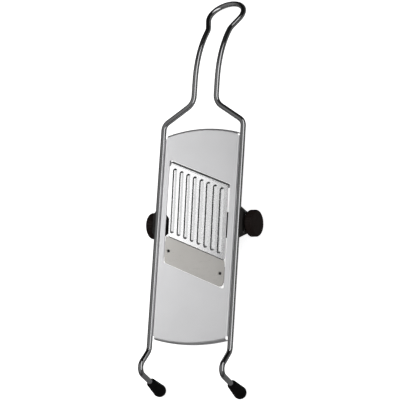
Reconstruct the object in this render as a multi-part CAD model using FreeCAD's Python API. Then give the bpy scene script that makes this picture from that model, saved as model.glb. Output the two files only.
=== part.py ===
"""Mandoline slicer: bent wire frame, pressed deck, tilting ribbed ramp, fixed slanted blade and a cam shaft.

The slicer is drawn in its rail frame: X across the slicer, Y along the rails towards the handle,
Z up, with the centre lines of the two rails in the plane Z = 0. At the end every piece is stood on
the table as the slicer rests, on its two rubber feet and the tip of its handle, with the origin at
the middle of its footprint on the table. All sizes are in millimetres.
"""
import FreeCAD, Part
import os
from math import asin, atan, atan2, cos, degrees, hypot, pi, radians, sin, sqrt, tan

V = FreeCAD.Vector
X_AXIS = V(1, 0, 0)
Y_AXIS = V(0, 1, 0)
Z_AXIS = V(0, 0, 1)
SIDES = {"left": -1, "right": 1}

# Wire frame
wire_r = 2.7
rail_x = 45.0                # rail centre line, from the middle
shoulder_y = 77.9            # where rail and shoulder lines meet
shoulder_r = 9.0
neck_x = 12.6                # neck centre line, from the middle
neck_y = 98.8                # where shoulder and neck lines meet
neck_r = 14.0
handle_start_y = 121.0       # the handle begins to curve down
handle_r = 98.0              # side-view radius of that curve
handle_drop = radians(35)    # slope of the grip loop
loop_r = 19.0                # loop at the end of the handle
loop_centre = 24.6           # along the slope, from the end of the curve
loop_flare = radians(20)
flare_r = 16.0
heel_y = -147.8              # where the rail starts to rise before the foot
heel_r = 9.0
heel_rise = radians(43.8)
hook_y = -168.5              # corner over the top of the bowl hook
hook_r = 7.9
leg_slope = radians(70)      # slope of the foot leg, down and away

# Rubber feet
cap_top_z = -7.5
cap_mouth_r = 4.6
cap_ball_r = 6.5
cap_ball_at = 18.6           # from the mouth to the middle of the round end
cap_lip_r = 0.5              # rounding of the mouth's rim
cap_grip = 15.0              # length of wire inside the cap

# Deck plate
sheet = 0.8
deck_top = 1.3
deck_x = 42.2
deck_top_y = 72.5
deck_top_sag = 6.0
deck_bottom_y = -141.9
deck_bottom_sag = 5.0
deck_corner_r = 2.6
deck_notch = 2.6             # the ends of the deck are this much narrower than its welded sides
deck_notch_top_y = 63.5
deck_notch_bottom_y = -133.5
deck_depth = 6.0
deck_bend_r = 2.4
ear_y = 15.0                 # half length of the deeper ear at each bearing
ear_depth = 9.2
ear_corner_r = 3.0
weld_r = 0.7
weld_out = 0.35
weld_z = -2.1
weld_half = 4.0
weld_places = (48.0, -55.0, -118.0)
open_below = 2.0             # cutting tools run this far past a face

# Window, ramp and blade share one slant
slant = radians(21.2)
window_x = 35.0
window_top = 28.8            # Y where each slanted line crosses the middle
ramp_end = -47.9
blade_edge = -47.6
blade_back = -74.3
window_bottom = -74.6
window_corner_r = 1.6

# Ramp and its hinge
ramp_x = 32.8
ramp_lip = 4.0
ramp_bend_r = 1.3
ramp_corner_r = 3.0
ramp_edge_r = 0.7            # rounding along the two sides
rod_r = 1.25
running_gap = 0.05
roll_inner_r = rod_r + running_gap
roll_r = roll_inner_r + sheet
roll_proud = 0.12            # the roll stands this far above the plate
hinge_gap = 0.35
ramp_top = deck_top - 0.15
ramp_tilt = 1.715            # degrees below the deck at rest
rib_count = 8
rib_pitch = 7.76
rib_shift = -1.1
rib_w = 5.0                  # at the foot of the rib
rib_h = 0.8
rib_flank = 2.08             # each side leans in by this much
rib_wall = 1.8               # level distance through a leaning side
rib_top = 22.4
rib_bottom = -42.9
lug_x = 36.0
lug_w = 3.5
lug_r = 2.4
lug_half_y = 4.5
lug_corner_r = 1.6
rod_chamfer = 0.25
rod_end_gap = 0.2            # from each end of the rod to the lug's outer face

# Blade
blade_x = 34.0
blade_corner_r = 4.0
bevel_w = 3.6
edge_land = 0.15
rivet_x = 29.7
rivet_line = -61.2
rivet_r = 1.3
rivet_head_r = 1.45
rivet_head_h = 0.4
rivet_length = 2.2
rivet_tail_r = 2.2
rivet_tail_h = 0.7
rivet_sink_r = 1.9
rivet_sink = 0.35
tab_half = 8.0
tab_h = 1.2
tab_corner_r = 2.0
tab_gap = 1.9                # from the deck's side wall
tab_inner_x = 26.5

# Cam shaft, knobs and bearings
shaft_y = -21.6
shaft_z = -14.0
shaft_r = 3.0
shaft_half = 58.0
shaft_chamfer = 0.5
knob_r = 13.2
knob_inner_x = 51.2
knob_w = 8.8
knob_edge_r = 2.2
knob_bore_past = 0.2         # the bore runs this far past the shaft's end
knob_flutes = 20
flute_r = 1.6
flute_depth = 0.35
grub_r = 1.5
grub_length = 6.0
grub_socket_r = 0.8
grub_socket_depth = 1.5
grub_x = 3.6                 # from the knob's inner face
cam_x = 24.0
cam_w = 7.0
cam_hub_r = 5.5
cam_turn_up = 60.0           # knob travel towards thinner slices, degrees
cam_turn_down = 120.0        # knob travel towards thicker slices, degrees
ramp_per_turn = 0.022        # ramp degrees for each knob degree
cam_hub_w = 6.0
cam_clear = 0.45
cam_margin = 12.0            # extra rise at each end of the knob's travel, degrees
cam_rise_points = 6
cam_fall_points = 4
pin_r = 0.75
pin_inset = 0.3              # from each end of a pin to its hub's surface
bracket_in_x = 42.4
bracket_out_x = 50.4
bracket_taper_x = 44.6       # the two ends lean in from here to the nose
bracket_nose_half = 9.2
bracket_foot_x = 37.0
bracket_half = 16.5
bracket_top_z = 0.6
bracket_horn_depth = 1.2
bracket_shoulder_z = -3.2
bracket_eye_r = 8.2
bracket_foot_r = 5.8
screw_y = 8.4
screw_z = -5.6
screw_r = 1.25
screw_head_r = 2.2
screw_head_w = 1.4
screw_head_gap = 0.05        # round the head in its seat
screw_slot_half = 0.35
screw_slot_depth = 0.7
screw_past = 1.2             # the screw's end stands this far inside the deck's wall
screw_sunk = 0.1
washer_w = 0.5
washer_r = 7.5
ring_w = 1.2
ring_r = 5.0
ring_gap = 0.2               # from the bearing's foot
ring_slot_half = 1.2


def slant_y(line_y, x):
    """Y of a slanted line at X, where line_y is its Y in the middle."""
    return line_y - x * tan(slant)


rod_line = window_top - (roll_r + hinge_gap) / cos(slant)
rod_z = ramp_top + roll_proud - roll_r
rod_point = V(0, rod_line, rod_z)
rod_dir = V(cos(slant), -sin(slant), 0)


def box(x0, x1, y0, y1, z0, z1):
    return Part.makeBox(x1 - x0, y1 - y0, z1 - z0, V(x0, y0, z0))


def x_cylinder(radius, x0, x1, y, z):
    return Part.makeCylinder(radius, x1 - x0, V(x0, y, z), X_AXIS)


def mirrored(shape):
    return shape.mirror(V(0, 0, 0), X_AXIS)


def line(a, b):
    return Part.LineSegment(a, b).toShape()


def bend(before, corner, after, radius):
    """Arc that rounds a corner of a path, with the points where it leaves the two runs."""
    d0 = (before - corner).normalize()
    d1 = (after - corner).normalize()
    half = d0.getAngle(d1) / 2
    start = corner + d0 * (radius / tan(half))
    end = corner + d1 * (radius / tan(half))
    to_centre = (d0 + d1).normalize()
    middle = corner + to_centre * (radius / sin(half) - radius)
    return start, Part.Arc(start, middle, end).toShape(), end


def prism(points, z0, z1):
    """Upright prism over a polygon of (x, y) points."""
    outline = [V(x, y, z0) for x, y in points]
    face = Part.Face(Part.makePolygon(outline + outline[:1]))
    return face.extrude(V(0, 0, z1 - z0))


def upright_edges(shape):
    return [e for e in shape.Edges if abs(e.tangentAt(e.FirstParameter).z) > 0.99 and e.Length > 0.3]


def top_edges(shape, z):
    return [e for e in shape.Edges if abs(e.BoundBox.ZMin - z) < 0.02 and abs(e.BoundBox.ZMax - z) < 0.02]


def slanted_points(half_x, top_line, bottom_line):
    """Corners of a parallelogram with upright sides and slanted top and bottom."""
    return [
        (-half_x, slant_y(top_line, -half_x)),
        (half_x, slant_y(top_line, half_x)),
        (half_x, slant_y(bottom_line, half_x)),
        (-half_x, slant_y(bottom_line, -half_x)),
    ]


# ---------------------------------------------------------------- wire frame

hook_z = (heel_y - hook_y) * tan(heel_rise)
leg_dir = V(0, -cos(leg_slope), -sin(leg_slope))
hook_corner = V(0, hook_y, hook_z)
cap_mouth = hook_corner + leg_dir * ((hook_z - cap_top_z) / sin(leg_slope))
slope_dir = V(0, cos(handle_drop), -sin(handle_drop))
slope_start = V(0, handle_start_y + handle_r * sin(handle_drop), handle_r * (cos(handle_drop) - 1))
loop_tip = slope_start + slope_dir * (loop_centre + loop_r)


def wire_leg(side):
    """Edges of one half of the frame, from the end inside the foot to the handle loop."""
    rail = side * rail_x
    across = V(side, 0, 0)
    foot_end = cap_mouth + leg_dir * cap_grip + across * rail_x
    hook = hook_corner + across * rail_x
    heel = V(rail, heel_y, 0)
    shoulder = V(rail, shoulder_y, 0)
    neck = V(side * neck_x, neck_y, 0)
    handle = V(side * neck_x, handle_start_y, 0)

    edges = []
    here = foot_end
    stops = [
        (foot_end, hook, heel, hook_r),
        (hook, heel, shoulder, heel_r),
        (heel, shoulder, neck, shoulder_r),
        (shoulder, neck, handle, neck_r),
    ]
    for before, corner, after, radius in stops:
        start, arc, end = bend(before, corner, after, radius)
        edges += [line(here, start), arc]
        here = end
    edges.append(line(here, handle))

    half = handle_drop / 2
    middle = V(side * neck_x, handle_start_y + handle_r * sin(half), handle_r * (cos(half) - 1))
    slope = slope_start + across * neck_x
    edges.append(Part.Arc(handle, middle, slope).toShape())

    reach = loop_centre - loop_r * sin(loop_flare)
    loop_start = slope_start + slope_dir * reach + across * (loop_r * cos(loop_flare))
    flare_at = reach - (loop_r * cos(loop_flare) - neck_x) / tan(loop_flare)
    flare = slope_start + slope_dir * flare_at + across * neck_x
    start, arc, end = bend(slope, flare, loop_start, flare_r)
    edges += [line(slope, start), arc, line(end, loop_start)]
    return edges, foot_end, loop_start


def make_wire_frame():
    left, foot_end, left_loop = wire_leg(-1)
    right, _, right_loop = wire_leg(1)
    loop = Part.Arc(left_loop, loop_tip, right_loop).toShape()
    path = Part.Wire(Part.__sortEdges__(left + [loop] + right))
    section = Part.Wire(Part.makeCircle(wire_r, foot_end, leg_dir))
    return path.makePipeShell([section], True, False)


def make_foot_cap(side):
    """Rubber cap: a narrow mouth that swells to a round end, bored for the wire."""
    ball_lean = asin((cap_ball_r - cap_mouth_r) / (cap_ball_at - cap_lip_r))

    def on_ball(angle):
        return V(cap_ball_r * cos(angle), 0, cap_ball_at + cap_ball_r * sin(angle))

    start = V(0, 0, 0)
    rim = V(cap_mouth_r - cap_lip_r, 0, 0)
    rim_middle = V(cap_mouth_r - cap_lip_r * (1 - cos(pi / 4)), 0, cap_lip_r * (1 - sin(pi / 4)))
    rim_end = V(cap_mouth_r, 0, cap_lip_r)
    touch = on_ball(-ball_lean)
    end = on_ball(pi / 2)
    profile = [
        line(start, rim),
        Part.Arc(rim, rim_middle, rim_end).toShape(),
        line(rim_end, touch),
        Part.Arc(touch, on_ball((pi / 2 - ball_lean) / 2), end).toShape(),
        line(end, start),
    ]
    cap = Part.Face(Part.Wire(profile)).revolve(start, Z_AXIS, 360)
    bore = Part.makeCylinder(wire_r, cap_grip + 1, V(0, 0, -1), Z_AXIS)
    cap = cap.cut(bore)
    turn = FreeCAD.Rotation(Z_AXIS, leg_dir)
    cap.Placement = FreeCAD.Placement(cap_mouth + V(side * rail_x, 0, 0), turn)
    return cap


# ---------------------------------------------------------------- deck

def deck_outline(inset, z):
    """Deck outline with arched ends, moved in by inset."""
    x = deck_x - inset
    top = deck_top_y - inset
    bottom = deck_bottom_y + inset
    a = V(-x, top - deck_top_sag, z)
    b = V(x, top - deck_top_sag, z)
    c = V(x, bottom + deck_bottom_sag, z)
    d = V(-x, bottom + deck_bottom_sag, z)
    return Part.Face(Part.Wire([
        Part.Arc(a, V(0, top, z), b).toShape(),
        line(b, c),
        Part.Arc(c, V(0, bottom, z), d).toShape(),
        line(d, a),
    ]))


def deck_tray(inset, top, bend_r):
    """Solid block under the pressed skin, rounded along its top edge."""
    block = deck_outline(inset, deck_top - deck_depth).extrude(V(0, 0, top - deck_top + deck_depth))
    block = block.makeFillet(deck_corner_r - inset, upright_edges(block))
    return block.makeFillet(bend_r, top_edges(block, top))


def make_deck_plate():
    skin = deck_tray(0, deck_top, deck_bend_r)
    hollow = deck_tray(sheet, deck_top - sheet, deck_bend_r - sheet)
    hollow = hollow.fuse(hollow.translated(V(0, 0, -open_below)))
    deck = skin.cut(hollow)
    for side in SIDES.values():
        x0, x1 = sorted((side * (deck_x - sheet), side * deck_x))
        ear = box(x0, x1, shaft_y - ear_y, shaft_y + ear_y, deck_top - ear_depth, deck_top - deck_depth)
        corners = [e for e in ear.Edges if e.CenterOfMass.z < deck_top - ear_depth + 0.01 and e.Length < 1]
        deck = deck.fuse(ear.makeFillet(ear_corner_r, corners))
    for y0, y1 in ((deck_notch_top_y, deck_top_y), (deck_bottom_y, deck_notch_bottom_y)):
        for side in SIDES.values():
            x0, x1 = sorted((side * (deck_x - deck_notch), side * (deck_x + 1)))
            deck = deck.cut(box(x0, x1, y0, y1, -deck_depth, deck_top + 1))
    window = prism(slanted_points(window_x, window_top, window_bottom), -deck_depth, deck_top + 1)
    window = window.makeFillet(window_corner_r, upright_edges(window))
    deck = deck.cut(window)
    for y in (shaft_y - screw_y, shaft_y + screw_y):
        deck = deck.cut(x_cylinder(screw_r, -deck_x - 1, deck_x + 1, y, screw_z))
    return deck.removeSplitter()


def make_deck_welds():
    """Short weld beads in the groove between each rail and the deck's edge."""
    beads = []
    for y in weld_places:
        bead = Part.makeCylinder(weld_r, 2 * weld_half, V(deck_x + weld_out, y - weld_half, weld_z), Y_AXIS)
        bead = bead.makeFillet(weld_r * 0.6, [e for e in bead.Edges if e.Closed])
        beads += [bead, mirrored(bead)]
    return Part.makeCompound(beads)


# ---------------------------------------------------------------- ramp and hinge

def tilted(shape):
    """Turn a ramp piece about the hinge rod from level to its rest tilt."""
    return shape.rotated(rod_point, rod_dir, ramp_tilt)


def rib_outline(x, width, z):
    """Slot-shaped outline of one rib at a height."""
    half = width / 2
    y0 = slant_y(rib_bottom, x) + rib_w / 2
    y1 = slant_y(rib_top, x) - rib_w / 2
    return Part.Wire([
        line(V(x - half, y0, z), V(x - half, y1, z)),
        Part.Arc(V(x - half, y1, z), V(x, y1 + half, z), V(x + half, y1, z)).toShape(),
        line(V(x + half, y1, z), V(x + half, y0, z)),
        Part.Arc(V(x + half, y0, z), V(x, y0 - half, z), V(x - half, y0, z)).toShape(),
    ])


def rib_block(x, foot, top_z):
    """Block with leaning sides from the sheet's underside up to top_z."""
    low_z = ramp_top - sheet
    lean = rib_flank * (top_z - low_z) / rib_h
    return Part.makeLoft([rib_outline(x, foot, low_z), rib_outline(x, foot - 2 * lean, top_z)], True, True)


def make_ramp_plate():
    """Ribbed sheet with a lip at its low end and a roll round the hinge rod at the other."""
    low = ramp_top - ramp_lip
    plate = prism(slanted_points(ramp_x, rod_line, ramp_end), low, ramp_top)
    front = [e for e in top_edges(plate, ramp_top) if abs(e.CenterOfMass.y - ramp_end) < 1.0]
    plate = plate.makeFillet(ramp_bend_r, front)
    sides = [e for e in top_edges(plate, ramp_top) if abs(e.CenterOfMass.x) > ramp_x - 0.1]
    plate = plate.makeFillet(ramp_edge_r, sides)
    end_inset = sheet / cos(slant)
    below = prism(slanted_points(ramp_x + 1, rod_line + 2, ramp_end + end_inset), low - 1, ramp_top - sheet)
    plate = plate.cut(below)
    outline = prism(slanted_points(ramp_x, rod_line + 2, ramp_end), low - 1, ramp_top + 1)
    outline = outline.makeFillet(ramp_corner_r, [e for e in upright_edges(outline) if e.CenterOfMass.y < 0])
    plate = plate.common(outline)

    first = rib_shift - rib_pitch * (rib_count - 1) / 2
    for i in range(rib_count):
        x = first + i * rib_pitch
        foot = rib_w + 2 * rib_flank * sheet / rib_h
        rib = rib_block(x, foot, ramp_top + rib_h)
        hollow = rib_block(x, foot - 2 * rib_wall, ramp_top + rib_h - sheet)
        plate = plate.fuse(rib).cut(hollow)

    half = ramp_x / cos(slant)
    roll = Part.makeCylinder(roll_r, 2 * half, rod_point - rod_dir * half, rod_dir)
    between = box(-ramp_x, ramp_x, rod_line - 30, rod_line + 30, -10, 10)
    plate = plate.fuse(roll.common(between))
    plate = plate.cut(Part.makeCylinder(roll_inner_r, 2 * half + 4, rod_point - rod_dir * (half + 2), rod_dir))
    return tilted(plate.removeSplitter())


def make_hinge_rod():
    half = (lug_x + lug_w - rod_end_gap) / cos(slant)
    rod = Part.makeCylinder(rod_r, 2 * half, rod_point - rod_dir * half, rod_dir)
    return rod.makeChamfer(rod_chamfer, [e for e in rod.Edges if e.Closed])


def make_hinge_lug(side):
    """Block under the deck that holds one end of the hinge rod."""
    x0, x1 = sorted((side * lug_x, side * (lug_x + lug_w)))
    y = slant_y(rod_line, side * (lug_x + lug_w / 2))
    top = deck_top - sheet
    block = box(x0, x1, y - lug_half_y, y + lug_half_y, rod_z - lug_r, top)
    low = [e for e in block.Edges if abs(e.CenterOfMass.z - rod_z + lug_r) < 0.01 and e.Length < 5]
    block = block.makeFillet(lug_corner_r, low)
    half = (lug_x + lug_w + 5) / cos(slant)
    return block.cut(Part.makeCylinder(rod_r, 2 * half, rod_point - rod_dir * half, rod_dir))


# ---------------------------------------------------------------- blade

def rivet_places():
    return [(side * rivet_x, slant_y(rivet_line, side * rivet_x)) for side in (-1, 1)]


def make_blade():
    """Slanted blade, level with the deck, ground from below to its cutting edge."""
    low = deck_top - sheet
    blade = prism(slanted_points(blade_x, blade_edge, blade_back), low, deck_top)
    middle_y = (blade_edge + blade_back) / 2
    back = [e for e in upright_edges(blade) if e.CenterOfMass.y < slant_y(middle_y, e.CenterOfMass.x)]
    blade = blade.makeFillet(blade_corner_r, back)
    cutter_x = blade_x + 5
    rise = sheet - edge_land
    across = V(-sin(slant), -cos(slant), 0)
    edge = V(-cutter_x, slant_y(blade_edge, -cutter_x), deck_top - edge_land)
    down_bevel = across * bevel_w - V(0, 0, rise)
    before = edge - down_bevel / 2
    triangle = [before, edge + down_bevel * 1.5, before - V(0, 0, 4)]
    wedge = Part.Face(Part.makePolygon(triangle + triangle[:1]))
    wedge = wedge.extrude(rod_dir * (2 * cutter_x / cos(slant)))
    blade = blade.cut(wedge)
    for x, y in rivet_places():
        blade = blade.cut(Part.makeCylinder(rivet_r, 5, V(x, y, low - 1), Z_AXIS))
        blade = blade.cut(Part.makeCylinder(rivet_sink_r, 5, V(x, y, deck_top - rivet_sink), Z_AXIS))
    return blade


def make_blade_tab(side):
    """Bracket strip under the deck that the blade is riveted to."""
    top = deck_top - sheet
    x0 = tab_inner_x
    x1 = deck_x - sheet - tab_gap
    points = [
        (side * x0, slant_y(rivet_line + tab_half, side * x0)),
        (side * x1, slant_y(rivet_line + tab_half, side * x1)),
        (side * x1, slant_y(rivet_line - tab_half, side * x1)),
        (side * x0, slant_y(rivet_line - tab_half, side * x0)),
    ]
    tab = prism(points, top - tab_h, top)
    tab = tab.makeFillet(tab_corner_r, upright_edges(tab))
    x, y = rivet_places()[0 if side < 0 else 1]
    return tab.cut(Part.makeCylinder(rivet_r, 5, V(x, y, top - 3), Z_AXIS))


def make_blade_rivets():
    seat = deck_top - rivet_sink
    tail_z = deck_top - sheet - tab_h - rivet_tail_h
    rivets = []
    for x, y in rivet_places():
        shank = Part.makeCylinder(rivet_r, rivet_length, V(x, y, seat - rivet_length), Z_AXIS)
        head = Part.makeCylinder(rivet_head_r, rivet_head_h, V(x, y, seat), Z_AXIS)
        head = head.makeFillet(rivet_head_h * 0.75, top_edges(head, seat + rivet_head_h))
        tail = Part.makeCylinder(rivet_tail_r, rivet_tail_h, V(x, y, tail_z), Z_AXIS)
        low_rim = [e for e in tail.Edges if e.Closed and e.CenterOfMass.z < tail_z + 0.1]
        tail = tail.makeFillet(rivet_tail_h * 0.7, low_rim)
        rivets.append(shank.fuse([head, tail]).removeSplitter())
    return Part.makeCompound(rivets)


# ---------------------------------------------------------------- cam shaft

def ramp_over_shaft(x, knob_angle):
    """Distance from the shaft's axis to the ramp's underside at X, and the underside's lean, in degrees."""
    tilt = radians(ramp_tilt + ramp_per_turn * knob_angle)
    reach = (rod_line - shaft_y) * cos(slant) - x * sin(slant)
    under = rod_z + (roll_inner_r - roll_proud) / cos(tilt) - reach * tan(tilt)
    lean = atan(cos(slant) * tan(tilt))
    return (under - shaft_z) * cos(lean), degrees(lean)


def make_cam(side):
    """Snail cam: a steady rise over the knob's travel and a smooth fall over the rest of the turn."""
    x = side * cam_x
    first = -cam_turn_up - cam_margin
    last = cam_turn_down + cam_margin

    def rim(turn, radius):
        a = radians(90 - turn)
        return V(0, radius * cos(a), radius * sin(a))

    points = []
    for i in range(cam_rise_points + 1):
        knob_angle = last + (first - last) * i / cam_rise_points
        height, lean = ramp_over_shaft(x, knob_angle)
        points.append(rim(knob_angle - lean, height - cam_clear))
    high = points[-1].Length
    low = points[0].Length
    for i in range(1, cam_fall_points):
        part = i / cam_fall_points
        radius = low + (high - low) * (1 + cos(pi * part)) / 2
        points.append(rim(first - (360 - last + first) * part, radius))
    curve = Part.BSplineCurve()
    curve.interpolate(points, PeriodicFlag=True)
    face = Part.Face(Part.Wire(curve.toShape()))
    cam = face.extrude(V(cam_w, 0, 0)).translated(V(x - cam_w / 2, shaft_y, shaft_z))
    hub_ends = sorted((x - side * cam_w / 2, x - side * (cam_w / 2 + cam_hub_w)))
    cam = cam.fuse(x_cylinder(cam_hub_r, *hub_ends, shaft_y, shaft_z))
    cam = cam.cut(x_cylinder(shaft_r, x - 20, x + 20, shaft_y, shaft_z))
    return cam.cut(cam_pin(side)).removeSplitter()


def cam_pin(side):
    """Cross pin through a cam's hub and the shaft."""
    x = side * (cam_x - (cam_w + cam_hub_w) / 2)
    half = cam_hub_r - pin_inset
    return Part.makeCylinder(pin_r, 2 * half, V(x, shaft_y - half, shaft_z), Y_AXIS)


def make_cam_pins():
    return Part.makeCompound([cam_pin(side) for side in (-1, 1)])


def make_camshaft():
    shaft = x_cylinder(shaft_r, -shaft_half, shaft_half, shaft_y, shaft_z)
    shaft = shaft.makeChamfer(shaft_chamfer, [e for e in shaft.Edges if e.Closed])
    for side in (-1, 1):
        shaft = shaft.cut(cam_pin(side))
    return shaft


def make_knob(side):
    """Short drum with rounded edges and shallow flutes, bored for the shaft."""
    x1 = knob_inner_x + knob_w
    knob = x_cylinder(knob_r, knob_inner_x, x1, 0, 0)
    rims = [e for e in knob.Edges if e.Closed]
    knob = knob.makeFillet(knob_edge_r, rims)
    flute_at = knob_r + flute_r - flute_depth
    for i in range(knob_flutes):
        a = 2 * pi * (i + 0.5) / knob_flutes
        knob = knob.cut(x_cylinder(flute_r, knob_inner_x - 1, x1 + 1, flute_at * cos(a), flute_at * sin(a)))
    knob = knob.cut(x_cylinder(shaft_r, knob_inner_x - 1, shaft_half + knob_bore_past, 0, 0))
    knob = knob.cut(Part.makeCylinder(grub_r, knob_r + 2, V(knob_inner_x + grub_x, 0, 0), -Z_AXIS))
    knob = knob.translated(V(0, shaft_y, shaft_z))
    return mirrored(knob) if side < 0 else knob


def make_knob_screws():
    """Grub screws that lock the knobs to the shaft."""
    screws = []
    for side in (-1, 1):
        x = side * (knob_inner_x + grub_x)
        screw = Part.makeCylinder(grub_r, grub_length, V(x, shaft_y, shaft_z - shaft_r), -Z_AXIS)
        socket_at = V(x, shaft_y, shaft_z - shaft_r - grub_length + grub_socket_depth)
        socket = Part.makeCylinder(grub_socket_r, grub_socket_depth + 1, socket_at, -Z_AXIS)
        screws.append(screw.cut(socket))
    return Part.makeCompound(screws)


def tangent_point(far, centre, radius, turn):
    """Point where a line from far touches a circle, on the side given by turn (+1 or -1)."""
    dy = centre[0] - far[0]
    dz = centre[1] - far[1]
    gap = hypot(dy, dz)
    angle = atan2(dz, dy) + turn * asin(radius / gap)
    reach = sqrt(gap * gap - radius * radius)
    return far[0] + reach * cos(angle), far[1] + reach * sin(angle)


def make_bearing(side):
    """Plastic bearing that cradles the rail from below and carries the shaft in its eye."""
    waist_y, waist_z = tangent_point((bracket_half, bracket_shoulder_z), (0, shaft_z), bracket_eye_r, 1)
    points = [
        (-bracket_half, bracket_top_z),
        (bracket_half, bracket_top_z),
        (bracket_half, bracket_shoulder_z),
        (waist_y, waist_z),
        (-waist_y, waist_z),
        (-bracket_half, bracket_shoulder_z),
    ]
    outline = [V(bracket_in_x, shaft_y + y, z) for y, z in points]
    plate = Part.Face(Part.makePolygon(outline + outline[:1])).extrude(V(bracket_out_x - bracket_in_x, 0, 0))
    eye = x_cylinder(bracket_eye_r, bracket_in_x, bracket_out_x, shaft_y, shaft_z)
    foot = x_cylinder(bracket_foot_r, bracket_foot_x, bracket_in_x, shaft_y, shaft_z)
    for end in (-1, 1):
        taper = [
            (bracket_taper_x, shaft_y + end * bracket_half),
            (bracket_out_x, shaft_y + end * bracket_nose_half),
            (bracket_out_x + 1, shaft_y + end * bracket_nose_half),
            (bracket_out_x + 1, shaft_y + end * (bracket_half + 1)),
            (bracket_taper_x, shaft_y + end * (bracket_half + 1)),
        ]
        plate = plate.cut(prism(taper, waist_z - 1, bracket_top_z + 1))
    bearing = plate.fuse([eye, foot]).removeSplitter()
    cradle = Part.makeCylinder(wire_r, 60, V(rail_x, shaft_y - 30, 0), Y_AXIS)
    inner_horn = box(bracket_in_x - 1, rail_x, shaft_y - 30, shaft_y + 30, -bracket_horn_depth, 5)
    bearing = bearing.cut(inner_horn).cut(cradle)
    bearing = bearing.cut(x_cylinder(shaft_r + running_gap, 30, 60, shaft_y, shaft_z))
    for y in (-screw_y, screw_y):
        bearing = bearing.cut(x_cylinder(screw_r, 40, 60, shaft_y + y, screw_z))
        seat = bracket_out_x - screw_head_w - screw_sunk
        bearing = bearing.cut(x_cylinder(screw_head_r, seat, 60, shaft_y + y, screw_z))
    return mirrored(bearing) if side < 0 else bearing


def make_bearing_screws(side):
    """Two screws that hold a bearing to the deck's ear."""
    screws = []
    for y in (-screw_y, screw_y):
        seat = bracket_out_x - screw_head_w - screw_sunk
        head = x_cylinder(screw_head_r - screw_head_gap, seat, seat + screw_head_w, shaft_y + y, screw_z)
        shank = x_cylinder(screw_r, deck_x - sheet - screw_past, seat, shaft_y + y, screw_z)
        slot_x = seat + screw_head_w - screw_slot_depth
        slot_y = shaft_y + y
        slot = box(slot_x, seat + 5, slot_y - 4, slot_y + 4, screw_z - screw_slot_half, screw_z + screw_slot_half)
        screw = head.fuse(shank).removeSplitter().cut(slot)
        screws.append(mirrored(screw) if side < 0 else screw)
    return Part.makeCompound(screws)


def make_washer(side):
    """Friction washer between a bearing and its knob."""
    x0 = (bracket_out_x + knob_inner_x - washer_w) / 2
    ring = x_cylinder(washer_r, x0, x0 + washer_w, shaft_y, shaft_z)
    ring = ring.cut(x_cylinder(shaft_r + running_gap, x0 - 1, x0 + 2, shaft_y, shaft_z))
    return mirrored(ring) if side < 0 else ring


def make_retaining_ring(side):
    """Ring on the shaft that stops it sliding out of its bearing."""
    x1 = bracket_foot_x - ring_gap
    ring = x_cylinder(ring_r, x1 - ring_w, x1, shaft_y, shaft_z)
    ring = ring.cut(x_cylinder(shaft_r, x1 - 5, x1 + 5, shaft_y, shaft_z))
    ring = ring.cut(box(x1 - 5, x1 + 5, shaft_y - ring_slot_half, shaft_y + ring_slot_half,
                        shaft_z - 10, shaft_z))
    return mirrored(ring) if side < 0 else ring


# ---------------------------------------------------------------- standing on the table

def table_placement():
    """Turn and move the rail frame so that the feet and the handle tip stand on Z = 0."""
    ball = cap_mouth + leg_dir * cap_ball_at
    run = hypot(loop_tip.y - ball.y, loop_tip.z - ball.z)
    lean = atan2(loop_tip.z - ball.z, loop_tip.y - ball.y) + asin((cap_ball_r - wire_r) / run)
    turn = FreeCAD.Rotation(X_AXIS, -degrees(lean))
    ball_now = turn.multVec(ball)
    tip_now = turn.multVec(loop_tip)
    low = ball_now.z - cap_ball_r
    back = ball_now.y - cap_ball_r
    front = tip_now.y + wire_r
    return FreeCAD.Placement(V(0, -(back + front) / 2, -low), turn)


def main():
    pieces = {
        "wire_frame": make_wire_frame(),
        "deck_plate": make_deck_plate(),
        "deck_welds": make_deck_welds(),
        "ramp_plate": make_ramp_plate(),
        "hinge_rod": make_hinge_rod(),
        "blade": make_blade(),
        "blade_rivets": make_blade_rivets(),
        "camshaft": make_camshaft(),
        "cam_pins": make_cam_pins(),
        "knob_grub_screws": make_knob_screws(),
    }
    for name, side in SIDES.items():
        pieces["foot_cap_" + name] = make_foot_cap(side)
        pieces["hinge_lug_" + name] = make_hinge_lug(side)
        pieces["blade_tab_" + name] = make_blade_tab(side)
        pieces["cam_" + name] = make_cam(side)
        pieces["knob_" + name] = make_knob(side)
        pieces["bearing_" + name] = make_bearing(side)
        pieces["bearing_screws_" + name] = make_bearing_screws(side)
        pieces["friction_washer_" + name] = make_washer(side)
        pieces["retaining_ring_" + name] = make_retaining_ring(side)

    os.makedirs("parts", exist_ok=True)
    stand = table_placement()
    for name, shape in pieces.items():
        placed = shape.copy()
        placed.Placement = stand.multiply(placed.Placement)
        placed.exportStep("parts/" + name + ".step")
        print(name, "valid", placed.isValid(), "solids", len(placed.Solids), "volume", round(placed.Volume, 1))
    print("stand", stand)


main()
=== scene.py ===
"""Looks of the mandoline slicer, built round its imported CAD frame. Lengths are in metres."""
from math import cos, radians, sin

import bpy
from mathutils import Matrix, Vector


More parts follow.
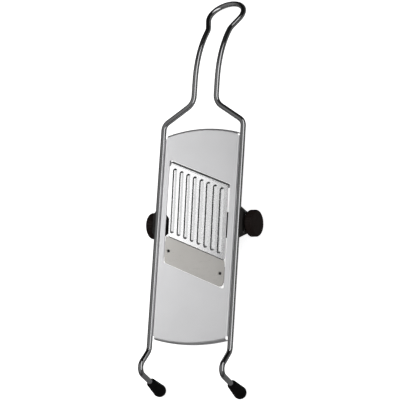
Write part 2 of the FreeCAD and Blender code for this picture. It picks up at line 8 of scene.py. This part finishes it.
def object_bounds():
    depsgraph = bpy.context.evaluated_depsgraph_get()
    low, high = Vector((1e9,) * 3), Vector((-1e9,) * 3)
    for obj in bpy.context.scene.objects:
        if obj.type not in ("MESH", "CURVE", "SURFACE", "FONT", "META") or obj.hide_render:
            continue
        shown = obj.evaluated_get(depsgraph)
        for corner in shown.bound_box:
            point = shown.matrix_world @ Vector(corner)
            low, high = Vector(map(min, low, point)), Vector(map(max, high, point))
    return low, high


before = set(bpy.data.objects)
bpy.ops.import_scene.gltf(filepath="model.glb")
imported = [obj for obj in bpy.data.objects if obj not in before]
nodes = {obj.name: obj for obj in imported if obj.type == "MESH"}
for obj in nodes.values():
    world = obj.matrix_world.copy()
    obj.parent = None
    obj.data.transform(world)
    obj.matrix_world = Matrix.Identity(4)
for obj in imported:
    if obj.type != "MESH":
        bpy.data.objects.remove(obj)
cad_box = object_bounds()

MM = 0.001


# ---------------------------------------------------------------- camera, floor and light

view_azimuth = radians(67.24)
view_elevation = radians(57.74)
view_lean = radians(4.656)            # turn of the picture about the line of sight
view_distance = 1.707
view_depth = 20                       # how far the camera sees
lens_mm = 156.6
sensor_mm = 36
aim_offset = Vector((1.69, -12.77, 13.72)) * MM   # aim point, from the middle of the model's box

floor_half = 4.0                      # half the floor's side
floor_grey = 0.88
floor_glow = 0.8                      # the floor is a light table, so that shadows stay faint

# Softboxes: name, azimuth and elevation in degrees, distance, width, height, watts, shown in reflections
softboxes = (
    ("key_light", -60, 60, 1.6, 1.4, 1.4, 8, False),
    ("fill_light", 60, 60, 1.8, 1.4, 1.4, 4, False),
    ("side_light", 105, 35, 1.4, 2.2, 0.7, 4.6, True),
    ("top_light", -99.6, 45.8, 1.56, 0.65, 0.8, 2.65, True),
    ("over_light", 100, 76, 1.5, 1.0, 1.4, 3.3, True),
)
kept_off_the_wire = ("top_light", "over_light")

# Grey of the tent by height and by depth of the direction that a reflection looks in, from -1 to 1
tent_height = ((-1.0, 0.14), (-0.15, 0.10), (-0.05, 0.02), (0.12, 0.03), (0.35, 0.08),
               (0.5, 0.11), (0.66, 0.15), (1.0, 0.17))
tent_depth = ((-1.0, 1.0), (0.4, 1.0), (0.62, 0.28), (1.0, 0.22))

# Sockets of a Mix node that mixes colours
mix_share, mix_color_a, mix_color_b, mix_color_out = 0, 6, 7, 2


def place_camera():
    """Camera at the photograph's viewing angle, aimed near the middle of the model's box."""
    middle = (cad_box[0] + cad_box[1]) / 2
    back = Vector((
        sin(view_azimuth) * cos(view_elevation),
        -cos(view_azimuth) * cos(view_elevation),
        sin(view_elevation),
    ))
    up = Vector((0, 1, 0)) - back * back.y
    up.normalize()
    up.rotate(Matrix.Rotation(view_lean, 3, back))
    right = up.cross(back)
    turn = Matrix((right, up, back)).transposed().to_4x4()
    data = bpy.data.cameras.new("camera")
    data.lens = lens_mm
    data.sensor_width = sensor_mm
    data.clip_end = view_depth
    camera = bpy.data.objects.new("camera", data)
    bpy.context.scene.collection.objects.link(camera)
    camera.matrix_world = Matrix.Translation(middle + aim_offset + back * view_distance) @ turn
    bpy.context.scene.camera = camera


def add_soft_light(name, azimuth, elevation, distance, width, height, power, in_gloss):
    """Rectangular softbox that faces the middle of the slicer, with or without a reflection of its own."""
    data = bpy.data.lights.new(name, "AREA")
    data.shape = "RECTANGLE"
    data.size = width
    data.size_y = height
    data.energy = power
    light = bpy.data.objects.new(name, data)
    bpy.context.scene.collection.objects.link(light)
    a, e = radians(azimuth), radians(elevation)
    away = Vector((sin(a) * cos(e), -cos(a) * cos(e), sin(e)))
    light.location = away * distance
    light.visible_glossy = in_gloss
    light.rotation_euler = away.to_track_quat("Z", "Y").to_euler()
    return light


def keep_off(light, piece):
    """Leaves one piece out of what a light shines on."""
    others = bpy.data.collections.new(light.name + "_receivers")
    others.objects.link(piece)
    light.light_linking.receiver_collection = others
    others.collection_objects[0].light_linking.link_state = "EXCLUDE"


def build_world():
    """Studio tent: plain and pale to the camera, but shaded in reflections by height and depth."""
    world = bpy.data.worlds.new("studio")
    bpy.context.scene.world = world
    world.use_nodes = True
    tree = world.node_tree
    tree.nodes.clear()
    coord = tree.nodes.new("ShaderNodeTexCoord")
    split = tree.nodes.new("ShaderNodeSeparateXYZ")
    tree.links.new(coord.outputs["Generated"], split.inputs[0])

    def shade(output, stops):
        """Grey that follows one coordinate of the direction, from -1 to 1, through the given stops."""
        share = tree.nodes.new("ShaderNodeMapRange")
        share.inputs["From Min"].default_value = -1
        share.inputs["From Max"].default_value = 1
        tree.links.new(output, share.inputs["Value"])
        ramp = tree.nodes.new("ShaderNodeValToRGB")
        tree.links.new(share.outputs["Result"], ramp.inputs[0])
        steps = ramp.color_ramp.elements
        steps.remove(steps[1])
        for place, (at, grey) in enumerate(stops):
            step = steps[0] if place == 0 else steps.new((at + 1) / 2)
            step.position = (at + 1) / 2
            step.color = (grey, grey, grey, 1)
        return ramp.outputs[0]

    height = shade(split.outputs["Z"], tent_height)
    depth = shade(split.outputs["Y"], tent_depth)
    both = tree.nodes.new("ShaderNodeMix")
    both.data_type = "RGBA"
    both.blend_type = "MULTIPLY"
    both.inputs[mix_share].default_value = 1
    tree.links.new(height, both.inputs[mix_color_a])
    tree.links.new(depth, both.inputs[mix_color_b])
    tent = tree.nodes.new("ShaderNodeBackground")
    tree.links.new(both.outputs[mix_color_out], tent.inputs["Color"])
    plain = tree.nodes.new("ShaderNodeBackground")
    plain.inputs["Color"].default_value = (1, 1, 1, 1)
    path = tree.nodes.new("ShaderNodeLightPath")
    mix = tree.nodes.new("ShaderNodeMixShader")
    tree.links.new(path.outputs["Is Camera Ray"], mix.inputs[0])
    tree.links.new(tent.outputs[0], mix.inputs[1])
    tree.links.new(plain.outputs[0], mix.inputs[2])
    out = tree.nodes.new("ShaderNodeOutputWorld")
    tree.links.new(mix.outputs[0], out.inputs["Surface"])


def build_floor():
    """Plain pale floor, left out of reflections."""
    mesh = bpy.data.meshes.new("floor")
    corners = [(-floor_half, -floor_half, 0), (floor_half, -floor_half, 0),
               (floor_half, floor_half, 0), (-floor_half, floor_half, 0)]
    mesh.from_pydata(corners, [], [(0, 1, 2, 3)])
    floor = bpy.data.objects.new("floor", mesh)
    bpy.context.scene.collection.objects.link(floor)
    paper = bpy.data.materials.new("pale_floor")
    paper.use_nodes = True
    shader = paper.node_tree.nodes["Principled BSDF"]
    shader.inputs["Base Color"].default_value = (floor_grey, floor_grey, floor_grey, 1)
    shader.inputs["Roughness"].default_value = 1.0
    shader.inputs["Specular IOR Level"].default_value = 0.0
    shader.inputs["Emission Color"].default_value = (1, 1, 1, 1)
    shader.inputs["Emission Strength"].default_value = floor_glow
    mesh.materials.append(paper)
    floor.visible_glossy = False


# ---------------------------------------------------------------- materials

blade_slant = radians(21.2)           # the blade's grinding lines run along its slanted edge
noise_low, noise_high = 0.3, 0.7      # the middle range that most of a noise texture lies in


class Surface:
    """A Principled material with object coordinates at hand, so each finish is a few short steps."""

    def __init__(self, name, color, metallic, roughness):
        self.material = bpy.data.materials.new(name)
        self.material.use_nodes = True
        self.tree = self.material.node_tree
        self.shader = self.tree.nodes["Principled BSDF"]
        self.shader.inputs["Base Color"].default_value = (*color, 1)
        self.shader.inputs["Metallic"].default_value = metallic
        self.shader.inputs["Roughness"].default_value = roughness
        self.coord = self.tree.nodes.new("ShaderNodeTexCoord")

    def link(self, output, target):
        self.tree.links.new(output, target)

    def noise(self, scale, detail=3.0, stretch=(1, 1, 1), turn=0.0):
        """Noise over the object's own coordinates, scaled per axis by stretch and turned about Z."""
        mapping = self.tree.nodes.new("ShaderNodeMapping")
        mapping.inputs["Scale"].default_value = stretch
        mapping.inputs["Rotation"].default_value = (0, 0, turn)
        self.link(self.coord.outputs["Object"], mapping.inputs["Vector"])
        texture = self.tree.nodes.new("ShaderNodeTexNoise")
        texture.inputs["Scale"].default_value = scale
        texture.inputs["Detail"].default_value = detail
        self.link(mapping.outputs["Vector"], texture.inputs["Vector"])
        return texture.outputs["Fac"]

    def vary_roughness(self, source, low, high):
        """Roughness that follows the source's middle range from low to high."""
        span = self.tree.nodes.new("ShaderNodeMapRange")
        span.inputs["From Min"].default_value = noise_low
        span.inputs["From Max"].default_value = noise_high
        span.inputs["To Min"].default_value = low
        span.inputs["To Max"].default_value = high
        self.link(source, span.inputs["Value"])
        self.link(span.outputs["Result"], self.shader.inputs["Roughness"])

    def tint(self, source, color_a, color_b):
        """Base colour that wanders between two close tones."""
        ramp = self.tree.nodes.new("ShaderNodeValToRGB")
        first, last = ramp.color_ramp.elements
        first.position, last.position = noise_low, noise_high
        first.color, last.color = (*color_a, 1), (*color_b, 1)
        self.link(source, ramp.inputs[0])
        self.link(ramp.outputs[0], self.shader.inputs["Base Color"])

    def bump(self, source, depth, strength=1.0):
        """Fine relief of the given depth."""
        relief = self.tree.nodes.new("ShaderNodeBump")
        relief.inputs["Distance"].default_value = depth
        relief.inputs["Strength"].default_value = strength
        self.link(source, relief.inputs["Height"])
        self.link(relief.outputs["Normal"], self.shader.inputs["Normal"])


def polished_wire():
    """Bright drawn wire, with faint lines along it."""
    s = Surface("polished_wire", (0.80, 0.80, 0.81), metallic=1.0, roughness=0.1)
    s.vary_roughness(s.noise(90, detail=4), 0.07, 0.15)
    s.tint(s.noise(25), (0.74, 0.74, 0.75), (0.83, 0.83, 0.84))
    s.bump(s.noise(900, detail=2, stretch=(1, 0.15, 1)), 0.01 * MM)
    return s.material


def satin_sheet():
    """Rolled sheet with a fine grain along the slicer."""
    s = Surface("satin_sheet", (0.80, 0.80, 0.81), metallic=0.85, roughness=0.32)
    grain = s.noise(60, detail=5, stretch=(40, 1.2, 40))
    s.vary_roughness(grain, 0.30, 0.40)
    s.tint(s.noise(22), (0.78, 0.78, 0.79), (0.82, 0.82, 0.83))
    s.bump(grain, 0.02 * MM, strength=0.35)
    return s.material


def bright_sheet():
    """Pressed sheet, glossier than the deck, with a fainter grain."""
    s = Surface("bright_sheet", (0.76, 0.76, 0.765), metallic=1.0, roughness=0.15)
    grain = s.noise(60, detail=4, stretch=(30, 1.5, 30))
    s.vary_roughness(grain, 0.13, 0.18)
    s.tint(s.noise(30), (0.74, 0.74, 0.745), (0.78, 0.78, 0.785))
    s.bump(grain, 0.01 * MM, strength=0.3)
    return s.material


def ground_blade():
    """Blade steel, warmer and darker than the sheet, with grinding lines along the blade."""
    s = Surface("ground_blade", (0.53, 0.515, 0.49), metallic=0.9, roughness=0.3)
    grain = s.noise(60, detail=5, stretch=(1.2, 50, 50), turn=blade_slant)
    s.vary_roughness(grain, 0.27, 0.34)
    s.tint(s.noise(30), (0.51, 0.495, 0.47), (0.55, 0.535, 0.51))
    s.bump(grain, 0.02 * MM, strength=0.4)
    return s.material


def turned_steel(name, grey, roughness):
    """Plain small steel parts, slightly uneven in tone and gloss."""
    s = Surface(name, (grey,) * 3, metallic=1.0, roughness=roughness)
    s.vary_roughness(s.noise(300), roughness * 0.8, roughness * 1.25)
    s.tint(s.noise(120), (grey * 0.93,) * 3, (grey * 1.05,) * 3)
    s.bump(s.noise(1800, detail=2), 0.01 * MM, strength=0.4)
    return s.material


def moulded_plastic(name, color, roughness, shine, grain_scale, grain_depth):
    """Moulded plastic or rubber, with the fine grain of its mould."""
    s = Surface(name, color, metallic=0.0, roughness=roughness)
    s.shader.inputs["Specular IOR Level"].default_value = shine
    s.vary_roughness(s.noise(140, detail=4), roughness * 0.85, roughness * 1.15)
    s.tint(s.noise(60), [c * 0.85 for c in color], [c * 1.2 for c in color])
    s.bump(s.noise(grain_scale), grain_depth)
    return s.material


# Slot: colour, roughness, shine, scale of the grain, depth of the grain
moulded_finishes = {
    "black_plastic": ((0.010, 0.009, 0.008), 0.5, 0.25, 1500, 0.03 * MM),
    "knob_plastic": ((0.009, 0.0055, 0.0045), 0.55, 0.15, 1800, 0.04 * MM),
    "foot_rubber": ((0.0035, 0.003, 0.003), 0.6, 0.08, 1200, 0.03 * MM),
    "washer_rubber": ((0.02, 0.02, 0.02), 0.6, 0.25, 1200, 0.03 * MM),
}
# Slot: grey, roughness; the rivets' grey is painted shade
steel_finishes_and_painted_shade = {
    "weld_steel": (0.5, 0.35),
    # Painted shade: the rivets' near-black grey of 0.05 stands in for the shade in the rivet holes, not
    # for the colour of the steel.
    "rivet_steel": (0.05, 0.45),
    "bright_steel": (0.66, 0.22),
    "dark_screw": (0.05, 0.45),
}
finish_of_slot = {
    "polished_wire": polished_wire(),
    "deck_steel": satin_sheet(),
    "ramp_steel": bright_sheet(),
    "blade_steel": ground_blade(),
}
for slot, values in steel_finishes_and_painted_shade.items():
    finish_of_slot[slot] = turned_steel(slot, *values)
for slot, values in moulded_finishes.items():
    finish_of_slot[slot] = moulded_plastic(slot, *values)


def dress_cad_nodes():
    """Each CAD node takes the finish of the record's slot that its mesh was packed with."""
    for node in nodes.values():
        for holder in node.material_slots:
            packed = holder.material.name.split(".")[0]
            holder.material = finish_of_slot[packed]


# ---------------------------------------------------------------- the scene

bpy.context.scene.view_settings.view_transform = "Standard"
build_world()
build_floor()
for row in softboxes:
    light = add_soft_light(*row)
    if light.name in kept_off_the_wire:
        keep_off(light, nodes["wire_frame"])
dress_cad_nodes()
place_camera()
